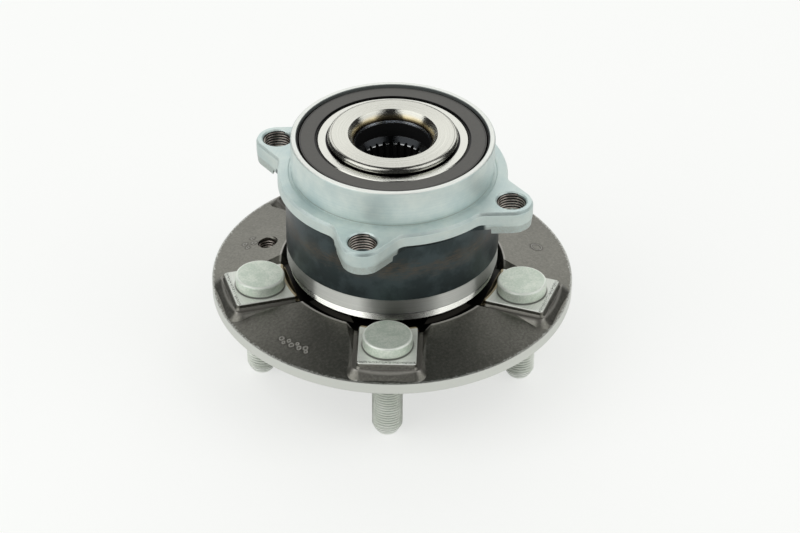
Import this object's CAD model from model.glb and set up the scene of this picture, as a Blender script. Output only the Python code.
import math

import bmesh
import bpy
from mathutils import Matrix, Vector


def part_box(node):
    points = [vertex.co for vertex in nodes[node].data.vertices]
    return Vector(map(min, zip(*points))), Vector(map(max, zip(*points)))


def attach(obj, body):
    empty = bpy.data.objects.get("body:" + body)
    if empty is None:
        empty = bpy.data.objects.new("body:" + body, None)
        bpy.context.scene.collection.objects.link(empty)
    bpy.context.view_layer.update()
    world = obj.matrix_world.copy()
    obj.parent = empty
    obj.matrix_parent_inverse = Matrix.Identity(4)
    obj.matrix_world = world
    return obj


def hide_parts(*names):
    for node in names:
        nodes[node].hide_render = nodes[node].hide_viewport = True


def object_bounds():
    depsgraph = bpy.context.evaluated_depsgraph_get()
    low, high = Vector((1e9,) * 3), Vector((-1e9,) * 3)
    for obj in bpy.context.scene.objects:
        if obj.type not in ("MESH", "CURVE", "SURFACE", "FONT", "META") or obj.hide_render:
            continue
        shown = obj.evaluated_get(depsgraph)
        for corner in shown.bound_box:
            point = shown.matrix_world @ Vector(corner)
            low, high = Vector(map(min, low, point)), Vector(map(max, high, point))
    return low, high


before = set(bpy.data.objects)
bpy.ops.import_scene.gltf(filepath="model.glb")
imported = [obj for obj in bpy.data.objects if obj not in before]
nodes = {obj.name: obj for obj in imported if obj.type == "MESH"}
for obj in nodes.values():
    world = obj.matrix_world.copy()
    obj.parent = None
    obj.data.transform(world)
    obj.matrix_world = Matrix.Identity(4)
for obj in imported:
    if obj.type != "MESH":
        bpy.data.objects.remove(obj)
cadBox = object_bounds()
print("frame loaded:", len(nodes), "nodes")

# Sizes are in millimetres and degrees; lengths that Blender takes are in metres.
mm = 0.001
crispAngle = math.radians(35)
seamGap = 0.001 * mm

# Anisotropic rotation, in turns, that draws a turned surface's highlights across its tool marks.
acrossMarks = 0.25


class Signal:
    # one output socket; arithmetic on it adds Math nodes to its tree
    def __init__(self, owner, socket):
        self.owner, self.socket = owner, socket

    def maths(self, operation, *others):
        return self.owner.node("ShaderNodeMath", {"operation": operation}, dict(enumerate((self, *others))))

    def flipped(self, operation, other):
        return self.owner.node("ShaderNodeMath", {"operation": operation}, {0: other, 1: self})

    def __add__(self, other):
        return self.maths("ADD", other)

    def __radd__(self, other):
        return self.flipped("ADD", other)

    def __sub__(self, other):
        return self.maths("SUBTRACT", other)

    def __rsub__(self, other):
        return self.flipped("SUBTRACT", other)

    def __mul__(self, other):
        return self.maths("MULTIPLY", other)

    def __rmul__(self, other):
        return self.flipped("MULTIPLY", other)

    def __truediv__(self, other):
        return self.maths("DIVIDE", other)

    def __rtruediv__(self, other):
        return self.flipped("DIVIDE", other)

    def __abs__(self):
        return self.maths("ABSOLUTE")


class NodeTree:
    # a tree whose nodes are added one call at a time: type, settings, inputs
    def __init__(self, tree):
        self.tree = tree

    def node(self, kind, settings=None, inputs=None, out=0):
        made = self.tree.nodes.new(kind)
        for key, value in (settings or {}).items():
            setattr(made, key, value)
        for key, value in (inputs or {}).items():
            if isinstance(value, Signal):
                self.tree.links.new(value.socket, made.inputs[key])
            elif isinstance(value, tuple) and made.inputs[key].type == "RGBA":
                made.inputs[key].default_value = (*value, 1)
            else:
                made.inputs[key].default_value = value
        return Signal(self, made.outputs[out])

    def join(self, x, y, z):
        return self.node("ShaderNodeCombineXYZ", {}, {0: x, 1: y, 2: z})

    def split(self, vector):
        parts = self.node("ShaderNodeSeparateXYZ", {}, {0: vector}).socket.node
        return [Signal(self, output) for output in parts.outputs]


class Finish(NodeTree):
    # a material
    def __init__(self, name):
        self.material = bpy.data.materials.new(name)
        self.material.use_nodes = True
        super().__init__(self.material.node_tree)
        self.tree.nodes.clear()
        self.output = self.tree.nodes.new("ShaderNodeOutputMaterial")

    def place(self):
        return self.node("ShaderNodeTexCoord", out="Object")

    def ease(self, value, low, high):
        # rises from 0 at low to 1 at high, and falls where low is the larger
        settings = {"interpolation_type": "SMOOTHSTEP", "clamp": True}
        if low < high:
            return self.node("ShaderNodeMapRange", settings, {0: value, 1: low, 2: high, 3: 0.0, 4: 1.0})
        return self.node("ShaderNodeMapRange", settings, {0: value, 1: high, 2: low, 3: 1.0, 4: 0.0})

    def above(self, value, edge, soft):
        return self.ease(value, edge - soft, edge + soft)

    def below(self, value, edge, soft):
        return self.ease(value, edge + soft, edge - soft)

    def band(self, value, low, high, soft):
        return self.above(value, low, soft) * self.below(value, high, soft)

    def noise(self, vector, scale, detail=3.0, rough=0.55, stretch=None):
        if stretch:
            vector = self.node("ShaderNodeVectorMath", {"operation": "MULTIPLY"}, {0: vector, 1: stretch})
        return self.node("ShaderNodeTexNoise", {"noise_dimensions": "3D"},
                         {"Vector": vector, "Scale": scale, "Detail": detail, "Roughness": rough})

    def mix(self, share, first, second):
        return self.node("ShaderNodeMix", {"data_type": "RGBA"}, {0: share, 6: first, 7: second}, out=2)

    def blend(self, share, first, second):
        return self.node("ShaderNodeMix", {"data_type": "FLOAT"}, {0: share, 2: first, 3: second})

    def bump(self, height, distance, onto=None):
        inputs = {"Height": height, "Distance": distance}
        if onto:
            inputs["Normal"] = onto
        return self.node("ShaderNodeBump", {}, inputs)

    def metal(self, **inputs):
        return self.node("ShaderNodeBsdfPrincipled", {},
                         {key.replace("_", " "): value for key, value in inputs.items()})

    def overlay(self, share, under, over):
        return self.node("ShaderNodeMixShader", {}, {0: share, 1: under, 2: over})

    def surface(self, shader):
        self.tree.links.new(shader.socket, self.output.inputs["Surface"])
        return self.material


class TurnedFinish(Finish):
    # a material that also knows its place round the upright line: millimetres, and an angle in radians
    def __init__(self, name):
        super().__init__(name)
        self.spot = self.place()
        self.x, self.y, self.height = (part / mm for part in self.split(self.spot))
        self.radius, self.angle = span(self.x, self.y), self.y.maths("ARCTAN2", self.x)

    def toolMarks(self, fine, long, detail=4):
        # lines that run round the turning axis
        across = self.join(self.radius * fine, self.height * fine, self.angle * long)
        return self.noise(across, 1.0, detail, 0.7)


class Former(NodeTree):
    # a geometry tree with named inputs, run once as a modifier and kept as a plain mesh
    def __init__(self, name, inputs):
        super().__init__(bpy.data.node_groups.new(name, "GeometryNodeTree"))
        kinds = {float: "NodeSocketFloat", bpy.types.Material: "NodeSocketMaterial"}
        self.tree.interface.new_socket("Geometry", in_out="INPUT", socket_type="NodeSocketGeometry")
        for key, kind in inputs.items():
            self.tree.interface.new_socket(key, in_out="INPUT", socket_type=kinds[kind])
        self.tree.interface.new_socket("Geometry", in_out="OUTPUT", socket_type="NodeSocketGeometry")
        entry = self.tree.nodes.new("NodeGroupInput")
        self.given = {output.name: Signal(self, output) for output in entry.outputs if output.name}
        self.exit = self.tree.nodes.new("NodeGroupOutput")

    def finish(self, geometry):
        self.tree.links.new(geometry.socket, self.exit.inputs[0])

    def run(self, places, values):
        # the mesh that the tree makes from points at these places
        points = bpy.data.meshes.new("places")
        points.from_pydata(places, [], [])
        holder = bpy.data.objects.new("places", points)
        bpy.context.scene.collection.objects.link(holder)
        modifier = holder.modifiers.new("former", "NODES")
        modifier.node_group = self.tree
        for item in self.tree.interface.items_tree:
            if item.in_out == "INPUT" and item.name in values:
                modifier[item.identifier] = values[item.name]
        bpy.context.view_layer.update()
        evaluated = holder.evaluated_get(bpy.context.evaluated_depsgraph_get())
        mesh = bpy.data.meshes.new_from_object(evaluated)
        bpy.data.objects.remove(holder)
        return mesh


def span(x, y):
    return (x * x + y * y).maths("SQRT")


def swing(noise, size):
    # a noise as a push either way, size wide in all
    return (noise - 0.5) * size


def shade(*screen):
    # a colour as a screen shows it, red, green and blue from 0 to 255, as the linear values that nodes take
    return tuple(c / 255 / 12.92 if c <= 10 else ((c / 255 + 0.055) / 1.055) ** 2.4 for c in screen)


def dimmed(colour, share):
    return tuple(c * share for c in colour)


# what gaps and undersides fade to
shadow = shade(16, 16, 16)


def dress(material, *names):
    for name in names:
        mesh = nodes[name].data
        mesh.materials.clear()
        mesh.materials.append(material)


def makePiece(name, mesh, body, material):
    # closes seams, turns faces outward and keeps sharp edges crisp
    form = bmesh.new()
    form.from_mesh(mesh)
    bmesh.ops.remove_doubles(form, verts=form.verts, dist=seamGap)
    bmesh.ops.recalc_face_normals(form, faces=form.faces)
    for face in form.faces:
        face.smooth = True
    for edge in form.edges:
        if len(edge.link_faces) == 2 and edge.calc_face_angle() > crispAngle:
            edge.smooth = False
    form.to_mesh(mesh)
    form.free()
    mesh.materials.clear()
    mesh.materials.append(material)
    for polygon in mesh.polygons:
        polygon.material_index = 0
    piece = bpy.data.objects.new(name, mesh)
    bpy.context.scene.collection.objects.link(piece)
    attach(piece, body)
    return piece


# Camera and studio. Bearings are degrees round the upright line, rises are degrees above level.
cameraView = {"bearing": -26.2, "rise": 35.84, "roll": 0.42, "lens": 130.324, "film": 36,
              "place": (-0.433325, -0.888076, 0.722756), "near": 0.01, "far": 50}


def wayOut(bearing, rise):
    # the direction from the object to someone who looks at it from there
    turn, rise = math.radians(bearing), math.radians(rise)
    return Vector((math.sin(turn) * math.cos(rise), -math.cos(turn) * math.cos(rise), math.sin(rise)))


def makeCamera():
    turn, roll = math.radians(cameraView["bearing"]), math.radians(cameraView["roll"])
    back = wayOut(cameraView["bearing"], cameraView["rise"])
    right = Vector((math.cos(turn), math.sin(turn), 0))
    up = back.cross(right)
    right, up = (math.cos(roll) * right + math.sin(roll) * up, math.cos(roll) * up - math.sin(roll) * right)
    camera = bpy.data.objects.new("camera", bpy.data.cameras.new("camera"))
    bpy.context.scene.collection.objects.link(camera)
    camera.data.lens, camera.data.sensor_width = cameraView["lens"], cameraView["film"]
    camera.data.clip_start, camera.data.clip_end = cameraView["near"], cameraView["far"]
    turned = Matrix((right, up, back)).transposed().to_4x4()
    camera.matrix_world = Matrix.Translation(cameraView["place"]) @ turned
    bpy.context.scene.camera = camera


# Each lamp is a wide panel: bearing from the camera's side, rise, distance, width, height and brightness.
studio = {"floor": shade(246, 247, 245), "floorOwnLight": 0.68, "floorReach": 3.0, "floorDrop": 0.1,
          "worldLight": 0.51, "worldGlossy": 0.03, "worldSeen": 0.95,
          "lamps": {"lampLeft": (-58, 42, 1.5, 1.5, 1.5, 1.7),
                    "lampRight": (71, 42, 1.5, 1.2, 1.4, 1.4),
                    "lampBack": (180, 31, 1.7, 2.6, 1.2, 1.35)}}


def rayKinds(tree):
    camera = tree.node("ShaderNodeLightPath", out="Is Camera Ray")
    return camera, Signal(tree, camera.socket.node.outputs["Is Glossy Ray"])


def makeWorld():
    world = bpy.data.worlds.new("studio")
    world.use_nodes = True
    bpy.context.scene.world = world
    tree = NodeTree(world.node_tree)
    shown = tree.tree.nodes["Background"]
    shown.inputs["Color"].default_value = (1, 1, 1, 1)
    camera, glossy = rayKinds(tree)
    choice = {"data_type": "FLOAT"}
    level = tree.node("ShaderNodeMix", choice, {0: glossy, 2: studio["worldLight"], 3: studio["worldGlossy"]})
    level = tree.node("ShaderNodeMix", choice, {0: camera, 2: level, 3: studio["worldSeen"]})
    tree.tree.links.new(level.socket, shown.inputs["Strength"])


def makeLamps():
    for name, (bearing, rise, distance, width, height, brightness) in studio["lamps"].items():
        lamp = bpy.data.lights.new(name, "AREA")
        lamp.shape, lamp.size, lamp.size_y = "RECTANGLE", width, height
        lamp.energy = brightness * math.pi * width * height
        place = wayOut(cameraView["bearing"] + bearing, rise) * distance
        holder = bpy.data.objects.new(name, lamp)
        bpy.context.scene.collection.objects.link(holder)
        aim = (-place).to_track_quat("-Z", "Y").to_matrix().to_4x4()
        holder.matrix_world = Matrix.Translation(place) @ aim


def makeFloor():
    mesh = bpy.data.meshes.new("floor")
    low, reach = cadBox[0][2] - studio["floorDrop"] * mm, studio["floorReach"]
    corners = [(-reach, -reach, low), (reach, -reach, low), (reach, reach, low), (-reach, reach, low)]
    mesh.from_pydata(corners, [], [(0, 1, 2, 3)])
    floor = bpy.data.objects.new("floor", mesh)
    bpy.context.scene.collection.objects.link(floor)
    paper = Finish("floorPaper")
    lit = paper.node("ShaderNodeBsdfDiffuse", {}, {"Color": studio["floor"]})
    flat = paper.node("ShaderNodeEmission", {}, {"Color": studio["floor"], "Strength": 1.0})
    camera, glossy = rayKinds(paper)
    mesh.materials.append(paper.surface(
        paper.overlay(camera.maths("MAXIMUM", glossy) * studio["floorOwnLight"], lit, flat)))


bpy.context.scene.view_settings.view_transform = "Standard"
makeCamera()
makeWorld()
makeLamps()
makeFloor()
print("camera and studio made")

# Outer ring: satin spigot and ears, dark scaled barrel, turned bands. Heights and radii in millimetres.
ring = {"satin": shade(188, 206, 205), "satinPale": shade(216, 227, 222), "worn": shade(222, 226, 220),
        "raw": shade(160, 158, 148), "barrel": shade(46, 55, 56), "blued": shade(60, 70, 72),
        "warm": shade(92, 78, 62), "streak": shade(128, 134, 134), "turned": shade(240, 241, 233),
        "inside": shade(120, 126, 124), "face": shade(228, 231, 225),
        "wornShare": 0.35, "spigotShare": 0.16, "earFootShare": 0.2, "footShare": 0.55, "warmShare": 0.7,
        "streakShare": 0.35, "stepShare": 0.7, "upperShare": 0.42,
        "blotch": (90, 4, 0.6), "fine": (1400, 3, 0.6), "scratch": (240, 5, 0.8), "scratchStretch": (1, 1, 6),
        "toolMarks": (5, 0.6), "satinRough": 0.46, "barrelRough": 0.36, "endRough": 0.2, "upperRough": 0.3,
        "satinMetal": 0.55, "discMetal": 0.85, "barrelMetal": 0.8, "relief": 0.05,
        "bandTop": 23.8, "endTop": 17.0, "endStep": (16.8, 17.1), "slope": 0.58, "endSlope": 0.7,
        "warmReach": (36.0, 42.0), "rawTop": 51.8, "darkTop": 52.8, "darkOut": 49.0, "earFoot": 57.0,
        "discTop": 58.25, "spigotOut": 47.3, "footLine": (58.9, 59.3), "footOut": 44.75,
        "spigotShade": (62.0, 72.0), "faceTop": 74.25, "boreOut": 39.8}


def satinSteel(f, blotch, turned, fine):
    share = f.ease(blotch + swing(turned, 0.6), 0.2, 0.8)
    satin = f.mix(share, ring["satin"], ring["satinPale"])
    satin = f.mix(f.ease(fine + swing(blotch, 0.5), 0.6, 0.8) * ring["wornShare"], satin, ring["worn"])
    satin = f.mix(f.ease(f.height, *ring["spigotShade"]) * ring["spigotShare"], satin, ring["raw"])
    satin = f.mix(f.below(f.height, ring["earFoot"], 0.4) * ring["earFootShare"], satin, ring["raw"])
    foot = f.band(f.height + swing(fine, 0.2), *ring["footLine"], 0.2)
    foot = foot * f.below(f.radius, ring["footOut"], 0.25)
    satin = f.mix(foot * ring["footShare"], satin, ring["raw"])
    raw = f.below(f.height + swing(blotch, 1.5), ring["rawTop"], 0.4)
    return f.mix(raw, satin, f.mix(fine, ring["raw"], ring["satin"]))


def barrelScale(f, blotch, scratch):
    warm = f.band(f.height + swing(blotch, 9), *ring["warmReach"], 3.0) * f.ease(scratch, 0.35, 0.7)
    dark = f.mix(f.ease(blotch, 0.4, 0.62), ring["barrel"], ring["blued"])
    dark = f.mix(warm * ring["warmShare"], dark, ring["warm"])
    return f.mix(f.ease(scratch, 0.6, 0.8) * ring["streakShare"], dark, ring["streak"])


def turnedBands(f, turned):
    # shaded as if they faced a little upward, the end band more, so that both catch the lamps
    lean = f.height * -ring["slope"] + f.height.maths("MINIMUM", ring["endTop"]) * -ring["endSlope"]
    upper = f.above(f.height, ring["endTop"], 0.1)
    bright = f.mix(f.ease(turned, 0.3, 0.7), dimmed(ring["turned"], 0.8), ring["turned"])
    bright = f.mix(f.band(f.height, *ring["endStep"], 0.1) * ring["stepShare"], bright, ring["barrel"])
    bright = f.mix(upper * ring["upperShare"], bright, ring["barrel"])
    rough = f.blend(upper, ring["endRough"], ring["upperRough"]) + turned * 0.04
    relief = lean + turned * f.blend(upper, 0.004, 0.012)
    return f.metal(Base_Color=bright, Metallic=1.0, Roughness=rough, Anisotropic=1.0,
                   Anisotropic_Rotation=acrossMarks, Normal=f.bump(relief, 1 * mm))


def makeRingFinish():
    f = TurnedFinish("ringSteel")
    turned = f.toolMarks(*ring["toolMarks"])
    blotch = f.noise(f.spot, *ring["blotch"])
    fine = f.noise(f.spot, *ring["fine"])
    scratch = f.noise(f.spot, *ring["scratch"], stretch=ring["scratchStretch"])
    onBarrel = f.band(f.height + swing(fine, 0.5), ring["bandTop"], ring["darkTop"], 0.15)
    onBarrel = onBarrel * f.below(f.radius + swing(blotch, 2), ring["darkOut"], 0.6)
    onDisc = f.below(f.height, ring["discTop"], 0.15) * f.above(f.radius, ring["spigotOut"], 0.3)
    colour = f.mix(onBarrel, satinSteel(f, blotch, turned, fine), barrelScale(f, blotch, scratch))
    colour = f.mix(f.above(f.height, ring["faceTop"], 0.15), colour, ring["face"])
    colour = f.mix(f.below(f.radius, ring["boreOut"], 0.1), colour, ring["inside"])
    rough = ring["satinRough"] + swing(blotch, 0.14) + swing(turned, 0.12)
    rough = f.blend(onBarrel, rough, ring["barrelRough"] + swing(scratch, 0.3))
    relief = f.blend(onBarrel, turned * 0.7 + fine * 0.3, blotch * 0.6 + scratch * 0.4)
    metallic = f.blend(onBarrel, f.blend(onDisc, ring["satinMetal"], ring["discMetal"]), ring["barrelMetal"])
    cast = f.metal(Base_Color=colour, Metallic=metallic, Roughness=rough,
                   Normal=f.bump(relief, ring["relief"] * mm))
    onBands = f.below(f.height, ring["bandTop"], 0.1)
    return f.surface(f.overlay(onBands, cast, turnedBands(f, turned)))


dress(makeRingFinish(), "outer_ring")
print("outer ring dressed")

# Where the five studs sit in the hub, and the height of the pads under their heads.
studPlaces = {"count": 5, "startAngle": 26.3, "circle": 57.15, "padTop": 11.2}


def padPlace(f):
    # distances along and across the nearest stud's own line
    step = math.tau / studPlaces["count"]
    turn = (f.angle - math.radians(studPlaces["startAngle"]) + step / 2 + math.tau) / step
    turn = (turn.maths("FRACT") - 0.5) * step
    return f.radius * turn.maths("COSINE"), abs(f.radius * turn.maths("SINE"))


# Wheel hub: forged flange, machined pads, rim and recess, polished spindle and lip, dark bore.
# Each mark is a small raised ring that says nothing: the radius and angle of its place, and its own radius.
hub = {"forged": shade(133, 132, 124), "forgedDark": shade(114, 113, 106), "forgedPale": shade(176, 177, 169),
       "machined": shade(222, 226, 218), "machinedDark": shade(208, 211, 203), "rim": shade(212, 214, 208),
       "ridge": shade(156, 154, 147), "moat": shade(96, 94, 88), "recess": shade(32, 31, 28),
       "recessPale": shade(164, 152, 122), "lip": shade(204, 204, 195), "lipDark": shade(184, 184, 176),
       "bore": shade(12, 12, 13), "cone": shade(46, 48, 50), "tooth": shade(150, 152, 152),
       "bronze": shade(206, 190, 146), "umber": shade(44, 36, 26), "edge": shade(226, 232, 240),
       "crevice": shade(14, 14, 14),
       "paleShare": 0.4, "ridgeShare": 0.65, "printShare": 0.75, "shadeShare": 0.5, "markShare": 0.8,
       "grooveShare": 0.6,
       "mottle": (900, 5, 0.65), "cloud": (60, 4, 0.6), "speck": (2400, 2, 0.6), "toolMarks": (6, 0.5),
       "lipMarks": (9, 0.3, 3), "forgedRough": 0.4, "cleanRough": 0.45, "lipRough": 0.17, "boreRough": 0.6,
       "forgedMetal": 1.0, "dullMetal": 0.4, "padMetal": 0.45, "boreMetal": 0.3,
       "relief": 0.05, "markDepth": 0.8, "lipRelief": 0.02, "boreRelief": 0.03,
       "padReach": (43.5, 70.5), "padHalf": 12.4, "padSpecks": (68.2, 69.4), "headPrint": (9.9, 10.7),
       "moatReach": (47.5, 70.6), "moatEdge": 15.0, "ridgeReach": (49.0, 69.0), "pocketArc": (71.4, 72.2),
       "flangeOut": 75.8, "flangeFoot": 5.19, "faceIn": 61.0, "forgedFoot": 4.75,
       "recessOut": 46.9, "recessRim": (46.8, 47.6), "recessTop": 13.75,
       "spindleOut": 33.25, "spindleFoot": 56.0, "lipGroove": (25.1, 25.4), "lipTop": 75.15,
       "creviceTop": 73.95, "creviceIn": 22.5, "mouthOut": 19.05, "bronzeTop": 74.1, "umberTop": 73.1,
       "boreEdge": (15.5, 15.75), "boreOut": 15.55, "boreTop": 70.85, "coneReach": (61.1, 64.6),
       "coneTop": 64.55, "toothFace": (61.2, 62.3), "toothOut": 13.375,
       "marks": ((66.0, 201.2, 0.9), (67.2, 203.0, 0.6), (65.4, 204.2, 0.7), (66.6, 206.2, 0.9),
                 (64.9, 207.8, 0.6), (66.3, 209.4, 0.8), (65.3, 211.6, 0.9), (66.8, 212.6, 0.6),
                 (61.2, 137.9, 0.9), (65.0, 138.6, 0.8), (63.2, 134.6, 0.7), (63.0, 141.0, 0.6),
                 (63.3, -11.5, 2.2))}


def moatShare(f, along, across, mottle):
    # the sunk lane round each pad
    far = hub["padReach"][1]
    beside = f.band(across + swing(mottle, 0.5), hub["padHalf"], hub["moatEdge"] - 0.5, 0.4)
    beside = beside * f.band(along, *hub["moatReach"], 0.6)
    return beside.maths("MAXIMUM", f.band(along, far + 0.1, far + 0.7, 0.3) * f.ease(across, 13.0, 11.5))


def ridgeShare(f, along, across, mottle):
    # worn edges: beside the lanes, round each pocket's outer end and round the recess
    beside = f.band(across + swing(mottle, 0.5), hub["moatEdge"] - 0.4, hub["moatEdge"] + 0.5, 0.4)
    beside = beside * f.band(along, *hub["ridgeReach"], 2.0)
    ragged = f.radius + swing(mottle, 0.5)
    pocket = f.band(ragged, *hub["pocketArc"], 0.4) * f.ease(across, 15.0, 12.5)
    recess = f.band(ragged, *hub["recessRim"], 0.2) * f.above(across, hub["padHalf"] + 2.9, 0.3)
    recess = recess * f.below(f.height, hub["recessTop"], 0.25)
    return ((beside * 0.5).maths("MAXIMUM", pocket) * hub["ridgeShare"]).maths("MAXIMUM", recess)


def rimShare(f, mottle, speck):
    # the machined rim and outboard face, with a chipped edge toward the forging
    out = hub["flangeOut"]
    rim = f.above(f.radius, out - 0.2, 0.1)
    outboard = f.below(f.height, hub["flangeFoot"], 0.09) * f.above(f.radius, hub["faceIn"], 1.0)
    chipped = f.ease(f.radius + swing(mottle, 3.2), out - 1.1, out - 0.5) * f.ease(speck, 0.42, 0.52)
    return rim.maths("MAXIMUM", outboard).maths("MAXIMUM", chipped)


def markShares(f):
    # the raised rings, and a dark line round each
    marks = shades = 0.0
    for reach, turn, size in hub["marks"]:
        turn = math.radians(turn)
        gap = span(f.x - reach * math.cos(turn), f.y - reach * math.sin(turn))
        marks = f.band(gap, size - 0.35, size + 0.35, 0.2) + marks
        shades = f.band(gap, size + 0.5, size + 1.0, 0.3) + shades
    onForging = f.above(f.height, hub["forgedFoot"], 0.75)
    return marks * onForging, shades.maths("MINIMUM", 1.0) * onForging


def padSteel(f, along, turned, mottle, speck):
    machined = f.mix(f.ease(turned, 0.35, 0.65), hub["machinedDark"], hub["machined"])
    specks = f.ease(speck, 0.5, 0.58) * f.band(along + swing(mottle, 1.5), *hub["padSpecks"], 0.3)
    return f.mix(specks, machined, hub["recess"])


def flangeShader(f, mottle):
    cloud = f.noise(f.spot, *hub["cloud"])
    speck = f.noise(f.spot, *hub["speck"])
    turned = f.toolMarks(*hub["toolMarks"])
    along, across = padPlace(f)
    moat, ridge = moatShare(f, along, across, mottle), ridgeShare(f, along, across, mottle)
    rim = rimShare(f, mottle, speck)
    marks, shades = markShares(f)
    onPad = f.below(across, hub["padHalf"], 0.1) * f.band(along, *hub["padReach"], 0.2)
    padTop = f.above(f.height + swing(speck, 0.1), studPlaces["padTop"] - 0.3, 0.1) * onPad
    headPrint = f.band(span(along - studPlaces["circle"], across), *hub["headPrint"], 0.35) * padTop
    recess = f.below(f.radius + swing(speck, 0.3), hub["recessOut"], 0.1)
    recess = recess * f.below(f.height, hub["recessTop"], 0.25)

    colour = f.mix(f.ease(mottle + swing(cloud, 0.3), 0.32, 0.68), hub["forgedDark"], hub["forged"])
    pale = f.ease(speck + swing(mottle, 0.8), 0.66, 0.8)
    colour = f.mix(pale * hub["paleShare"], colour, hub["forgedPale"])
    colour = f.mix(moat, colour, hub["moat"])
    colour = f.mix(ridge, colour, hub["ridge"])
    colour = f.mix(rim, colour, hub["rim"])
    colour = f.mix(padTop, colour, padSteel(f, along, turned, mottle, speck))
    colour = f.mix(headPrint * hub["printShare"], colour, hub["moat"])
    colour = f.mix(recess, colour, f.mix(onPad, hub["recess"], hub["recessPale"]))
    colour = f.mix(shades * hub["shadeShare"], colour, hub["moat"])
    colour = f.mix(marks.maths("MINIMUM", 1.0) * hub["markShare"], colour, hub["ridge"])

    clean = rim.maths("MAXIMUM", padTop)
    dull = moat.maths("MAXIMUM", ridge).maths("MAXIMUM", marks)
    metallic = f.blend(padTop, f.blend(dull, hub["forgedMetal"], hub["dullMetal"]), hub["padMetal"])
    rough = f.blend(clean, hub["forgedRough"] + swing(mottle, 0.2), hub["cleanRough"])
    grain = f.bump(f.blend(clean, mottle + speck * 0.5, turned * 0.3), hub["relief"] * mm)
    return f.metal(Base_Color=colour, Metallic=metallic, Roughness=rough,
                   Normal=f.bump(marks, hub["markDepth"] * mm, grain))


def spindleShader(f, rings):
    mouth = f.below(f.radius, hub["mouthOut"], 0.45)
    groove = f.band(f.radius, *hub["lipGroove"], 0.1) * f.above(f.height, hub["lipTop"], 0.15)
    crevice = f.below(f.height, hub["creviceTop"], 0.15) * f.above(f.radius, hub["creviceIn"], 0.5)
    teeth = f.band(f.height, *hub["toothFace"], 0.2) * f.below(f.radius, hub["toothOut"], 0.125)
    bright = f.mix(f.ease(rings, 0.35, 0.65), hub["lipDark"], hub["lip"])
    bright = f.mix(groove * hub["grooveShare"], bright, hub["moat"])
    bright = f.mix(crevice, bright, hub["crevice"])
    bright = f.mix(f.below(f.height, hub["bronzeTop"], 1.1) * mouth, bright, hub["bronze"])
    bright = f.mix(f.below(f.height, hub["umberTop"], 0.9) * mouth, bright, hub["umber"])
    bright = f.mix(f.band(f.radius, *hub["boreEdge"], 0.06), bright, hub["edge"])
    bright = f.mix(f.below(f.height, hub["coneTop"], 0.25), bright, hub["cone"])
    bright = f.mix(teeth, bright, hub["tooth"])
    return f.metal(Base_Color=bright, Metallic=1.0, Roughness=hub["lipRough"] + rings * 0.09,
                   Anisotropic=0.85, Anisotropic_Rotation=acrossMarks,
                   Normal=f.bump(rings, hub["lipRelief"] * mm))


def makeHubFinish():
    f = TurnedFinish("hubSteel")
    mottle = f.noise(f.spot, *hub["mottle"])
    rings = f.toolMarks(*hub["lipMarks"])
    low, high = hub["coneReach"]
    onSpindle = f.below(f.radius, hub["spindleOut"], 0.25) * f.above(f.height, hub["spindleFoot"], 1.0)
    inBore = f.below(f.radius, hub["boreOut"], 0.05) * f.below(f.height, hub["boreTop"], 0.15)
    inBore = inBore * f.above(f.height, high, 0.1).maths("MAXIMUM", f.below(f.height, low, 0.3))
    dark = f.metal(Base_Color=f.mix(mottle, hub["bore"], hub["crevice"]), Metallic=hub["boreMetal"],
                   Roughness=hub["boreRough"] + rings * 0.1, Normal=f.bump(mottle, hub["boreRelief"] * mm))
    outside = f.overlay(onSpindle, flangeShader(f, mottle), spindleShader(f, rings))
    return f.surface(f.overlay(inBore, outside, dark))


dress(makeHubFinish(), "wheel_hub")
print("wheel hub dressed")

# Inner ring: ground steel, black where the lip's crevice begins.
innerRing = {"steel": shade(208, 208, 200), "steelDark": shade(190, 191, 184), "creviceOut": 27.55,
             "toolMarks": (8, 0.4), "rough": 0.14, "drawn": 0.5, "relief": 0.03}


def makeGround():
    f = TurnedFinish("groundSteel")
    turned = f.toolMarks(*innerRing["toolMarks"])
    colour = f.mix(turned, innerRing["steelDark"], innerRing["steel"])
    colour = f.mix(f.below(f.radius, innerRing["creviceOut"], 0.15), colour, shadow)
    return f.surface(f.metal(Base_Color=colour, Metallic=1.0, Roughness=innerRing["rough"] + turned * 0.08,
                             Anisotropic=innerRing["drawn"], Anisotropic_Rotation=acrossMarks,
                             Normal=f.bump(turned, innerRing["relief"] * mm)))


# Encoder: matt magnetic rubber, black at both edges where it drops into its gaps.
encoder = {"rubber": shade(76, 75, 70), "inEdge": 32.075, "outEdge": (37.75, 38.0), "grain": (900, 4, 0.6),
           "rough": 0.5, "relief": 0.02}


def grainTone(f, grain, colour):
    return f.mix(f.ease(grain, 0.3, 0.7), dimmed(colour, 0.82), colour)


def makeEncoder():
    f = TurnedFinish("magnetRubber")
    grain = f.noise(f.spot, *encoder["grain"])
    tone = grainTone(f, grain, encoder["rubber"])
    inner, outer = f.below(f.radius, encoder["inEdge"], 0.075), f.band(f.radius, *encoder["outEdge"], 0.08)
    tone = f.mix(inner.maths("MAXIMUM", outer), tone, shadow)
    return f.surface(f.metal(Base_Color=tone, Metallic=0.0, Roughness=encoder["rough"] + swing(grain, 0.15),
                             Normal=f.bump(grain, encoder["relief"] * mm)))


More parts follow.
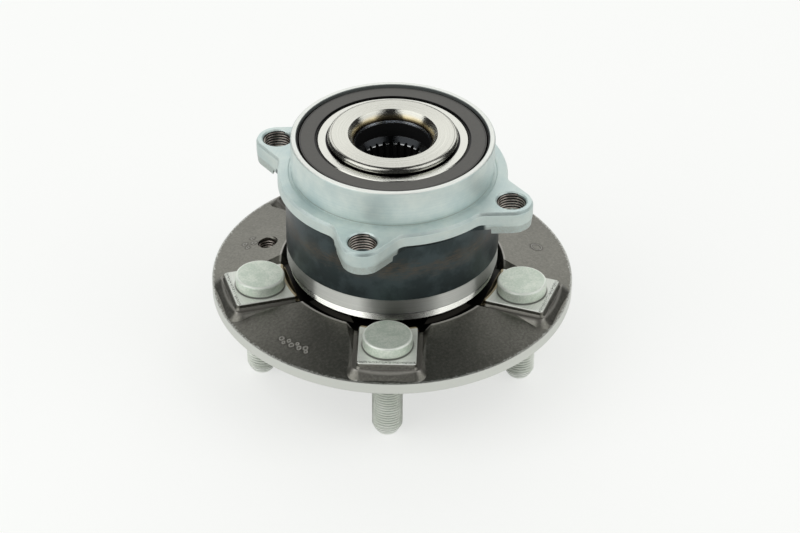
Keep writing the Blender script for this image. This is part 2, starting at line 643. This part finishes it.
# Plain finishes: colour, metal, roughness, the grain's scale and depth, and the nodes that wear it.
plainFinishes = {
    "sealRubber": (shade(34, 34, 33), 0.0, 0.6, 700, 0.03, ("inboard_seal_lip", "outboard_seal_lip")),
    "stainlessSheet": (shade(52, 52, 51), 1.0, 0.4, 300, 0.01,
                       ("slinger", "inboard_seal_case", "outboard_seal_case")),
    "cagePolyamide": (shade(196, 180, 138), 0.0, 0.45, 500, 0.03, ("inboard_cage", "outboard_cage")),
    "ballSteel": (shade(222, 223, 224), 1.0, 0.08, 200, 0.002, [n for n in nodes if "_ball_" in n])}


def makePlain(name, colour, metallic, rough, scale, depth):
    f = Finish(name)
    grain = f.noise(f.place(), scale, 4, 0.6)
    return f.surface(f.metal(Base_Color=grainTone(f, grain, colour), Metallic=metallic,
                             Roughness=rough + swing(grain, 0.15), Normal=f.bump(grain, depth * mm)))


dress(makeGround(), "inner_ring")
dress(makeEncoder(), "encoder_ring")
for name, (*values, wearers) in plainFinishes.items():
    dress(makePlain(name, *values), *wearers)
print("small parts dressed")


# Screw threads: one helical ridge, set at each place.
def makeThreadTree():
    sizes = ("Root Radius", "Crest Radius", "Root Width", "Crest Width", "Pitch", "Turns")
    f = Former("threadRidge", {**{key: float for key in sizes}, "Finish": bpy.types.Material})
    given = f.given
    helix = f.node("GeometryNodeCurveSpiral", {}, {
        "Resolution": 40, "Rotations": given["Turns"], "Start Radius": given["Root Radius"],
        "End Radius": given["Root Radius"], "Height": given["Turns"] * given["Pitch"]})
    helix = f.node("GeometryNodeSetCurveNormal", {"mode": "Z_UP"}, {"Curve": helix})
    rise = given["Root Radius"] - given["Crest Radius"]
    corners = [f.join(out, along, 0.0) for out, along in (
        (0.0, given["Root Width"] * -0.5), (rise, given["Crest Width"] * -0.5),
        (rise, given["Crest Width"] * 0.5), (0.0, given["Root Width"] * 0.5))]
    section = f.node("GeometryNodeCurvePrimitiveQuadrilateral", {"mode": "POINTS"},
                     {f"Point {number}": corner for number, corner in enumerate(corners, start=1)})
    ridge = f.node("GeometryNodeCurveToMesh", {},
                   {"Curve": helix, "Profile Curve": section, "Fill Caps": True})
    placed = f.node("GeometryNodeInstanceOnPoints", {}, {"Points": given["Geometry"], "Instance": ridge})
    solid = f.node("GeometryNodeRealizeInstances", {}, {"Geometry": placed})
    f.finish(f.node("GeometryNodeSetMaterial", {}, {"Geometry": solid, "Material": given["Finish"]}))
    return f


threadRidge = makeThreadTree()


def makeRidges(sizes, foot, turns, centres, material):
    # foot is the radius that the ridge stands on
    places = [(x * mm, y * mm, sizes["threadLow"] * mm) for x, y in centres]
    return threadRidge.run(places, {
        "Root Radius": foot * mm, "Crest Radius": sizes["crest"] * mm, "Root Width": sizes["rootWidth"] * mm,
        "Crest Width": sizes["crestWidth"] * mm, "Pitch": sizes["pitch"] * mm, "Turns": turns,
        "Finish": material})


# Wheel studs: head with a rounded edge, knurl, thread core and ridge, tapered tip.
stud = {"zinc": shade(197, 210, 195), "zincPale": shade(224, 231, 219), "edge": shade(244, 248, 240),
        "shank": shade(226, 231, 222), "shankPale": shade(244, 247, 241), "groove": shade(112, 116, 110),
        "edgeShare": 0.8, "shadowShare": 0.8, "grooveShare": 0.75, "cloud": (180, 4, 0.6),
        "speck": (1500, 3, 0.6), "rough": 0.48, "headMetal": 0.55, "shankMetal": 0.4, "relief": 0.06,
        "headEdge": 0.9, "headFlat": 0.6, "headFoot": 0.4, "knurl": 6.35, "knurlEnd": 0.35,
        "crest": 6.33, "root": 5.35, "rootStart": -0.8, "rootOverlap": 0.4, "pitch": 1.27, "rootWidth": 1.0,
        "crestWidth": 0.15, "threadSunk": 0.05, "threadLow": -28.6, "threadLength": 27.7,
        "tipStart": -28.0, "tipEnd": -31.4, "tipRadius": 4.3, "tipShoulder": 6.1, "tipBend": 1.8,
        "tipSteps": (0, 0.15, 0.3, 0.45, 0.6, 0.75, 0.88, 1), "facets": 72}
low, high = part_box("wheel_stud_1")
stud.update(headRadius=(high[0] - low[0]) / 2 / mm, top=high[2] / mm, tip=low[2] / mm)


def studGroove(f, reach, rings):
    # dark between the ridges, and in fine rings on the tip
    onThread = f.above(f.height, stud["tipStart"] + 0.25, 0.25)
    deep = f.ease(reach, stud["crest"] - 0.4, stud["root"] + 0.1) * onThread
    return deep.maths("MAXIMUM", f.ease(rings, 0.4, 0.9) * f.above(f.height, stud["tipEnd"], 0.2))


def makeZinc():
    f = TurnedFinish("zincPlate")
    along, across = padPlace(f)
    reach = span(along - studPlaces["circle"], across)
    cloud = f.noise(f.spot, *stud["cloud"])
    speck = f.noise(f.spot, *stud["speck"])
    share = f.ease(cloud + swing(speck, 0.9), 0.3, 0.75)
    edge = f.band(reach, stud["headRadius"] - 0.9, stud["headRadius"] - 0.1, 0.3)
    edge = edge * f.above(f.height, stud["top"] - 0.8, 0.2)
    head = f.mix(share, stud["zinc"], stud["zincPale"])
    head = f.mix(edge * stud["edgeShare"], head, stud["edge"])
    underside = f.below(f.height, studPlaces["padTop"] + 0.55, 0.35)
    head = f.mix(underside * stud["shadowShare"], head, shadow)
    onTip = f.below(f.height, stud["tipStart"] + 0.25, 0.25)
    rings = (f.height * (math.tau / stud["pitch"])).maths("SINE") * onTip
    shank = f.mix(share, stud["shank"], stud["shankPale"])
    shank = f.mix(studGroove(f, reach, rings) * stud["grooveShare"], shank, stud["groove"])
    onShank = f.below(f.height, 0.5, 0.5)
    return f.surface(f.metal(Base_Color=f.mix(onShank, head, shank),
                             Metallic=f.blend(onShank, stud["headMetal"], stud["shankMetal"]),
                             Roughness=stud["rough"] + swing(speck, 0.2),
                             Normal=f.bump(speck + cloud - rings * 2.5, stud["relief"] * mm)))


def lathe(form, profile, centre, facets):
    # a closed solid of revolution from (radius, height) points; the ends lie on the axis
    def ringPoint(radius, height, k):
        turn = math.tau * k / facets
        across, along = centre[0] + radius * math.cos(turn), centre[1] + radius * math.sin(turn)
        return form.verts.new((across * mm, along * mm, height * mm))

    rings = [[ringPoint(radius, height, k) for k in range(facets if radius > 0 else 1)]
             for radius, height in profile]
    for upper, lower in zip(rings, rings[1:]):
        for k in range(facets):
            corners = [upper[k % len(upper)], lower[k % len(lower)],
                       lower[(k + 1) % len(lower)], upper[(k + 1) % len(upper)]]
            form.faces.new(list(dict.fromkeys(corners)))


def studProfile():
    radius, top, tip, edge = stud["headRadius"], stud["top"], stud["tip"], stud["headEdge"]
    pad, start, shoulder = studPlaces["padTop"], stud["tipStart"], stud["tipShoulder"]
    quarter = [math.radians(a) for a in range(0, 91, 15)]
    rounding = [(radius - edge + edge * math.sin(a), top - edge + edge * math.cos(a)) for a in quarter]
    tipCurve = [(shoulder - (shoulder - stud["tipRadius"]) * t ** stud["tipBend"], start + (tip - start) * t)
                for t in stud["tipSteps"]]
    head = [(0, top), (radius - edge - stud["headFlat"], top), *rounding,
            (radius, pad + stud["headFoot"]), (radius - stud["headFoot"], pad)]
    core = [(stud["knurl"], pad), (stud["knurl"], stud["knurlEnd"]), (stud["crest"], 0),
            (stud["root"], stud["rootStart"]), (stud["root"], start + stud["rootOverlap"])]
    return [*head, *core, *tipCurve, (0, tip)]


def makeStuds():
    zincPlate = makeZinc()
    studNodes = [n for n in nodes if n.startswith("wheel_stud")]
    dress(zincPlate, *studNodes)
    circle, count = studPlaces["circle"], studPlaces["count"]
    turns = [math.radians(studPlaces["startAngle"] + 360 * n / count) for n in range(count)]
    centres = [(circle * math.cos(turn), circle * math.sin(turn)) for turn in turns]
    foot = stud["root"] - stud["threadSunk"]
    mesh = makeRidges(stud, foot, stud["threadLength"] / stud["pitch"], centres, zincPlate)
    form = bmesh.new()
    form.from_mesh(mesh)
    for centre in centres:
        lathe(form, studProfile(), centre, stud["facets"])
    form.to_mesh(mesh)
    form.free()
    piece = makePiece("studs", mesh, "hub", zincPlate)
    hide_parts(*studNodes)


makeStuds()
print("studs made")

# Threads in the four ears and in the disc screw hole, as ridges that stand in from the wall.
threadSteel = {"pale": shade(214, 206, 198), "brown": shade(150, 140, 130), "groove": shade(34, 29, 27),
               "grain": (900, 3, 0.6), "rough": 0.3, "relief": 0.02}
earThread = {"spacing": (66.8, 82.8), "wall": 6.02, "crest": 5.34, "pitch": 1.25, "rootWidth": 1.1,
             "crestWidth": 0.2, "threadLow": 50.3, "turns": 5.9}
screwThread = {"radius": 55.5, "angle": 137.4, "wall": 4.02, "crest": 3.35, "pitch": 1.25, "rootWidth": 1.1,
               "crestWidth": 0.2, "threadLow": 0.6, "turns": 6.0}


def makeHoleThread(name, sizes, centres, body):
    # pale along the crest, dark in the groove
    f = TurnedFinish(name + "Steel")
    grain = f.noise(f.spot, *threadSteel["grain"])
    reach, *others = (span(f.x - x, f.y - y) for x, y in centres)
    for other in others:
        reach = reach.maths("MINIMUM", other)
    tone = f.mix(grain, threadSteel["brown"], threadSteel["pale"])
    tone = f.mix(f.ease(reach, sizes["crest"] + 0.05, sizes["crest"] + 0.4), tone, threadSteel["groove"])
    steel = f.surface(f.metal(Base_Color=tone, Metallic=1.0, Roughness=threadSteel["rough"] + grain * 0.1,
                              Normal=f.bump(grain, threadSteel["relief"] * mm)))
    mesh = makeRidges(sizes, sizes["wall"], sizes["turns"], centres, steel)
    makePiece(name, mesh, body, steel)


halfX, halfY = (gap / 2 for gap in earThread["spacing"])
earCentres = [(x, y) for x in (-halfX, halfX) for y in (-halfY, halfY)]
screwTurn = math.radians(screwThread["angle"])
screwCentre = screwThread["radius"] * math.cos(screwTurn), screwThread["radius"] * math.sin(screwTurn)
makeHoleThread("earThreads", earThread, earCentres, "outer_ring")
makeHoleThread("screwThread", screwThread, [screwCentre], "hub")
print("hole threads made")
